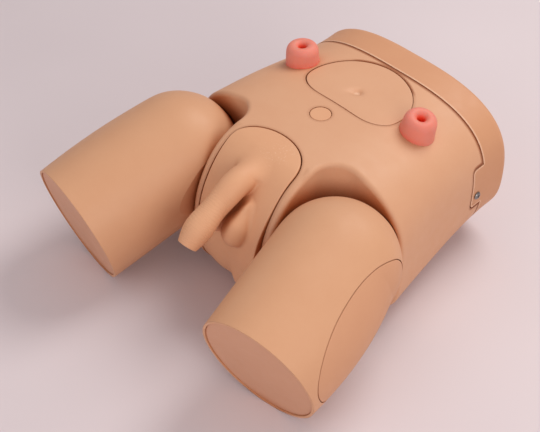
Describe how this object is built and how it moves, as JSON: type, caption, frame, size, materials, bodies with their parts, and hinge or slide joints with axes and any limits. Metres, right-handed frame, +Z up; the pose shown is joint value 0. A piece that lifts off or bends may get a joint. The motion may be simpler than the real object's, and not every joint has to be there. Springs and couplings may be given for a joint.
{
  "type": "urinary catheterization model",
  "caption": "Life-size male pelvis trainer lying on its back, with hinged thigh stumps, a removable soft genital insert, a belly plate, a puncture pad and stomas",
  "frame": {"origin": "on the table, under the middle of the whole model", "axes": "+X the patient's left, +Y towards the waist, +Z up from the table; the thighs point towards -Y"},
  "size_m": [0.4836, 0.4714, 0.2287],
  "materials": {
    "skin": "matt flesh-tan vinyl with faint pink mottling",
    "soft_skin": "soft matt flesh-tan elastomer",
    "end_cap": "matt flesh-brown sheet",
    "stoma": "soft satin coral elastomer",
    "white_plastic": "plain white moulding",
    "bottle": "milky plastic",
    "bladder": "soft matt elastomer",
    "hose": "translucent hose",
    "clip": "smooth moulding",
    "steel": "plain bright steel",
    "nylon": "plain white washer"
  },
  "bodies": {
    "torso": {"abdomen_plate": "skin", "bladder": "bladder", "bladder_cradle": "white_plastic", "bladder_valve": "white_plastic", "bottle_saddles": "white_plastic", "bowel_bottle": "bottle", "bowel_hose_clips": "clip", "bowel_tube_left": "hose", "bowel_tube_right": "hose", "cap_screws": "steel", "hip_washers": "nylon", "male_insert": "soft_skin", "stoma_collars": "white_plastic", "stoma_left": "stoma", "stoma_right": "stoma", "suprapubic_pad": "soft_skin", "torso_shell": "skin", "urethra_hose_clips": "clip", "urethra_tube": "hose", "waist_cap": "skin"},
    "thigh_left": {"thigh_left": "skin", "thigh_end_cap_left": "end_cap", "injection_pad_left": "soft_skin", "hip_bolt_left": "steel", "hip_wing_nut_left": "steel"},
    "thigh_right": {"thigh_right": "skin", "thigh_end_cap_right": "end_cap", "injection_pad_right": "soft_skin", "hip_bolt_right": "steel", "hip_wing_nut_right": "steel"}
  },
  "joints": [
    {"name": "hip_left", "type": "hinge", "parent": "torso", "child": "thigh_left", "pos_m": [0.138, -0.0623, 0.13], "axis": [-1, 0, 0], "range_deg": [0, 60]},
    {"name": "hip_right", "type": "hinge", "parent": "torso", "child": "thigh_right", "pos_m": [-0.138, -0.0623, 0.13], "axis": [-1, 0, 0], "range_deg": [0, 60]}
  ]
}
